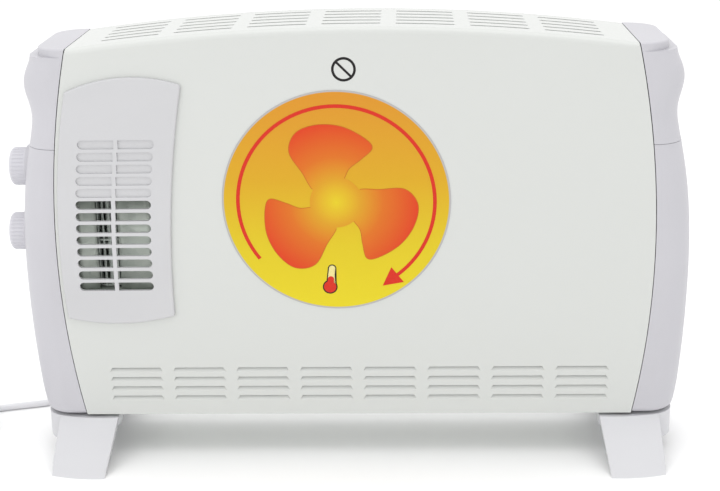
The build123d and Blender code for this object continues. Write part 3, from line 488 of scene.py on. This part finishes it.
def make_label_print():
    blade = smooth_loop(BLADE)
    blades = [turned(blade, 120 * k + 6) for k in range(3)]
    hub = arc(HUB_R, 0, 360)[:-1]
    for k, outline in enumerate(blades):
        printed(f"label_blade_{k + 1}", [outline], LABEL_AT, 0.45 + 0.001 * k, "blade")
        edge = [p for p in outline if hypot(*p) > HUB_R - 0.4]
        start = max(range(len(edge)), key=lambda i: hypot(
            edge[i][0] - edge[i - 1][0], edge[i][1] - edge[i - 1][1]))
        printed(f"label_blade_edge_{k + 1}", band(edge[start:] + edge[:start], 0.55, False),
                LABEL_AT, 0.50, "outline")
    printed("label_hub", [hub], LABEL_AT, 0.48, "blade")
    sweep = arc(86.0, 217, -52)
    printed("label_arc", band(sweep, 3.2, False), LABEL_AT, 0.45, "red")
    x, z = sweep[-1]
    along = atan2(z, x) - pi / 2
    ahead, across = Vector((cos(along), sin(along))), Vector((cos(along + pi / 2), sin(along + pi / 2)))
    tip, base = Vector((x, z)) + ahead * 17, Vector((x, z))
    head = [tuple(tip), tuple(base + across * 9), tuple(base - across * 9)]
    printed("label_arrowhead", [head], LABEL_AT, 0.46, "red")


def thermometer(bulb, stem, top, lean=-7.0):
    """Outline of a thermometer: a bulb with a rounded stem."""
    meet = (bulb ** 2 - stem ** 2) ** 0.5
    open_half = atan2(stem, meet)
    left = pi / 2 + open_half
    right = pi / 2 - open_half + 2 * pi
    line = [(bulb * cos(left + (right - left) * i / 30), bulb * sin(left + (right - left) * i / 30))
            for i in range(31)]
    line += [(stem * cos(pi * i / 14), top + stem * sin(pi * i / 14)) for i in range(15)]
    return turned(line, lean)


def make_thermometer():
    centre = (LABEL_AT[0] - 0.0072, LABEL_AT[1] - 0.0790)
    printed("label_gauge_outline", [thermometer(6.6, 3.8, 17.6)], centre, 0.45, "black")
    printed("label_gauge_tube", [thermometer(5.5, 2.8, 17.6)], centre, 0.49, "cream")
    printed("label_gauge_fluid", [thermometer(5.5, 2.8, 7.4)], centre, 0.53, "red")


def make_top_mark():
    printed("top_mark_ring", band(arc(9.4, 0, 360)[:-1], 2.2), MARK_AT, 0.06, "black")
    bar = turned([(-9.4, -1.0), (9.4, -1.0), (9.4, 1.0), (-9.4, 1.0)], -45)
    printed("top_mark_bar", [bar], MARK_AT, 0.07, "black")


make_label_print()
make_thermometer()
make_top_mark()

# ------------------------------------------------------------------ blower outlet
OUTLET_Z = (164.5, 254.5)
SHEET = 0.8
GUIDES = {
    "outlet_guide_left": [(-246.5, -46.0), (-242.0, -44.6), (-237.5, -42.6), (-233.5, -40.6), (-230.0, -39.4)],
    "outlet_guide_right": [(-178.5, -46.8), (-184.0, -45.6), (-190.0, -44.0), (-196.0, -42.2),
                           (-202.0, -40.4), (-207.0, -39.2), (-211.0, -38.6)],
}
NOTCH = ((-238.5, -222.0), (-60.0, -44.0), (160.0, 258.0))


def make_guides():
    """Curved sheets that close the outlet's corners against the impeller."""
    for name, plan in GUIDES.items():
        mesh = bpy.data.meshes.new(name)
        verts = [((x + SHIFT) * MM, y * MM, z * MM) for z in OUTLET_Z for x, y in plan]
        count = len(plan)
        faces = [(i, i + 1, count + i + 1, count + i) for i in range(count - 1)]
        mesh.from_pydata(verts, [], faces)
        mesh.polygons.foreach_set("use_smooth", [True] * len(faces))
        mesh.materials.append(materials["galvanised"])
        piece = bpy.data.objects.new(name, mesh)
        scene.collection.objects.link(piece)
        thickness = piece.modifiers.new("sheet", "SOLIDIFY")
        thickness.thickness, thickness.offset = SHEET * MM, 0.0
        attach(piece, "casing")


def make_notched_frame():
    """The left side frame, with its flange notched where it crosses the blower outlet."""
    source = nodes["side_frame_left"]
    piece = bpy.data.objects.new("side_frame_left_notched", source.data.copy())
    scene.collection.objects.link(piece)
    corners = [Vector(((x + SHIFT) * MM, y * MM, z * MM)) for x in NOTCH[0] for y in NOTCH[1] for z in NOTCH[2]]
    block = bmesh.new()
    for corner in corners:
        block.verts.new(corner)
    bmesh.ops.convex_hull(block, input=block.verts[:])
    mesh = bpy.data.meshes.new("notch")
    block.to_mesh(mesh)
    block.free()
    cutter = bpy.data.objects.new("notch", mesh)
    scene.collection.objects.link(cutter)
    cut = piece.modifiers.new("notch", "BOOLEAN")
    cut.operation, cut.object, cut.solver = "DIFFERENCE", cutter, "EXACT"
    depsgraph = bpy.context.evaluated_depsgraph_get()
    result = bpy.data.meshes.new_from_object(piece.evaluated_get(depsgraph))
    piece.modifiers.clear()
    piece.data = result
    bpy.data.objects.remove(cutter)
    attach(piece, "casing")
    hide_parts("side_frame_left")


make_guides()
make_notched_frame()

# ------------------------------------------------------------------ floor and light


def make_floor():
    bpy.ops.mesh.primitive_plane_add(size=16.0, location=(0.0, 1.5, 0.0))
    floor = bpy.context.object
    floor.name = "floor"
    s = Shader("floor_paint", Roughness=0.9)
    s.colour(s.mix(s.span(s.noise(2.0), 0.0, 1.0), (0.93, 0.93, 0.93, 1), (0.95, 0.95, 0.95, 1)))
    floor.data.materials.append(s.material)


def make_light(name, where, target, size, power):
    data = bpy.data.lights.new(name, "AREA")
    data.shape, data.size, data.size_y, data.energy = "RECTANGLE", size[0], size[1], power
    lamp = bpy.data.objects.new(name, data)
    aim = (Vector(target) - Vector(where)).to_track_quat("-Z", "Y")
    lamp.matrix_world = Matrix.Translation(where) @ aim.to_matrix().to_4x4()
    scene.collection.objects.link(lamp)


make_floor()
make_light("overhead", (0.0, -0.2, 2.4), (0.0, 0.0, 0.2), (3.0, 2.0), 18.0)
make_light("front_left", (-1.6, -2.2, 1.3), (0.0, 0.0, 0.2), (1.6, 1.4), 9.0)
world = bpy.data.worlds.new("studio")
world.use_nodes = True
world.node_tree.nodes["Background"].inputs["Color"].default_value = (1.0, 1.0, 1.0, 1.0)
world.node_tree.nodes["Background"].inputs["Strength"].default_value = 1.10
scene.world = world
scene.view_settings.view_transform = "Standard"
scene.view_settings.look = "None"

bpy.context.view_layer.update()
